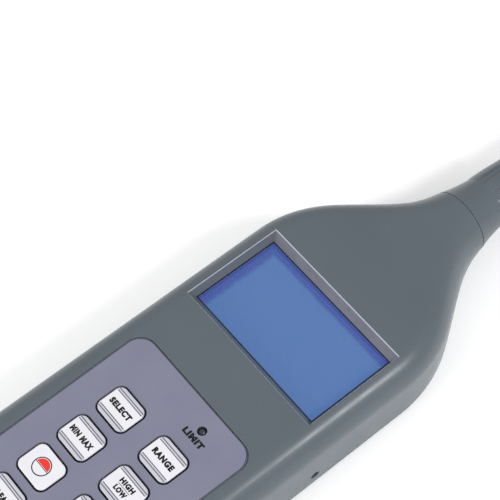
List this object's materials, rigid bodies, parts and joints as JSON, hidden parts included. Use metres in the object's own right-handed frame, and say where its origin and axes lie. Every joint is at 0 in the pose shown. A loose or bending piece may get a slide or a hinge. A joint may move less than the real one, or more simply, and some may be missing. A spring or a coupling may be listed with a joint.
{
  "type": "sound level meter",
  "caption": "Hand-held sound level meter with a broad display, a raised key field and a tapered shoulder carrying a half-inch microphone on its nose.",
  "frame": {"origin": "centre of the bounding box's bottom, on the plane that the back lies on", "axes": "+X to the right seen from the face, +Y from the battery end to the microphone, +Z out of the face"},
  "size_m": [0.063, 0.236, 0.0263],
  "materials": {
    "case_plastic": "grey moulded plastic with a fine even texture",
    "overlay_film": "lavender grey printed film",
    "key_plastic": "white satin key tops",
    "window_clear": "clear flat display window",
    "lcd_glass": "blue blank display panel",
    "backlight": "milky light guide",
    "black_plastic": "black moulded plastic",
    "rubber": "grey silicone rubber",
    "board": "green lacquered circuit board",
    "screw_steel": "zinc plated steel",
    "brass": "turned brass",
    "blue_plastic": "blue trimmer housing",
    "microphone_metal": "turned and satin finished metal",
    "cell_wrap": "plain dark sleeve on a dry cell",
    "lamp_lens": "dark tinted lamp lens"
  },
  "bodies": {
    "housing": {"alarm_led": "lamp_lens", "battery_plates": "screw_steel", "battery_springs": "screw_steel", "board_chips": "black_plastic", "board_screws": "screw_steel", "case_screws": "screw_steel", "cell_1": "cell_wrap", "cell_2": "cell_wrap", "cell_3": "cell_wrap", "cell_4": "cell_wrap", "front_case": "case_plastic", "key_mat": "rubber", "keypad_overlay": "overlay_film", "lcd_backlight": "backlight", "lcd_frame": "black_plastic", "lcd_glass": "lcd_glass", "lcd_strips": "rubber", "lcd_window": "window_clear", "main_board": "board", "mic_bush": "rubber", "mic_capsule": "microphone_metal", "mic_grid": "microphone_metal", "mic_insulator": "black_plastic", "mic_pins": "brass", "mic_tube": "microphone_metal", "nose_collar": "case_plastic", "output_jack": "black_plastic", "rear_cover": "case_plastic", "trim_pot_body": "blue_plastic", "tripod_insert": "brass", "window_tape": "black_plastic"},
    "key_function": {"key_function": "key_plastic"},
    "key_light": {"key_light": "key_plastic"},
    "key_max": {"key_max": "key_plastic"},
    "key_power": {"key_power": "key_plastic"},
    "key_range": {"key_range": "key_plastic"},
    "key_recall": {"key_recall": "key_plastic"},
    "key_speed": {"key_speed": "key_plastic"},
    "key_store": {"key_store": "key_plastic"},
    "battery_door": {"battery_door": "case_plastic"},
    "trim_screw": {"trim_pot_screw": "brass"}
  },
  "joints": [
    {"name": "key_function_press", "type": "slide", "parent": "housing", "child": "key_function", "axis": [0, 0, -1], "range_m": [0, 0.0006], "stiffness_N_per_m": 1500, "springref_m": -0.0004},
    {"name": "key_light_press", "type": "slide", "parent": "housing", "child": "key_light", "axis": [0, 0, -1], "range_m": [0, 0.0006], "stiffness_N_per_m": 1500, "springref_m": -0.0004},
    {"name": "key_max_press", "type": "slide", "parent": "housing", "child": "key_max", "axis": [0, 0, -1], "range_m": [0, 0.0006], "stiffness_N_per_m": 1500, "springref_m": -0.0004},
    {"name": "key_power_press", "type": "slide", "parent": "housing", "child": "key_power", "axis": [0, 0, -1], "range_m": [0, 0.0006], "stiffness_N_per_m": 1500, "springref_m": -0.0004},
    {"name": "key_range_press", "type": "slide", "parent": "housing", "child": "key_range", "axis": [0, 0, -1], "range_m": [0, 0.0006], "stiffness_N_per_m": 1500, "springref_m": -0.0004},
    {"name": "key_recall_press", "type": "slide", "parent": "housing", "child": "key_recall", "axis": [0, 0, -1], "range_m": [0, 0.0006], "stiffness_N_per_m": 1500, "springref_m": -0.0004},
    {"name": "key_speed_press", "type": "slide", "parent": "housing", "child": "key_speed", "axis": [0, 0, -1], "range_m": [0, 0.0006], "stiffness_N_per_m": 1500, "springref_m": -0.0004},
    {"name": "key_store_press", "type": "slide", "parent": "housing", "child": "key_store", "axis": [0, 0, -1], "range_m": [0, 0.0006], "stiffness_N_per_m": 1500, "springref_m": -0.0004},
    {"name": "door_slide", "type": "slide", "parent": "housing", "child": "battery_door", "axis": [0, -1, 0], "range_m": [0, 0.008]},
    {"name": "trim_turn", "type": "hinge", "parent": "housing", "child": "trim_screw", "pos_m": [0.0299, -0.0088, 0.0078], "axis": [1, 0, 0], "range_deg": [-135, 135]}
  ]
}
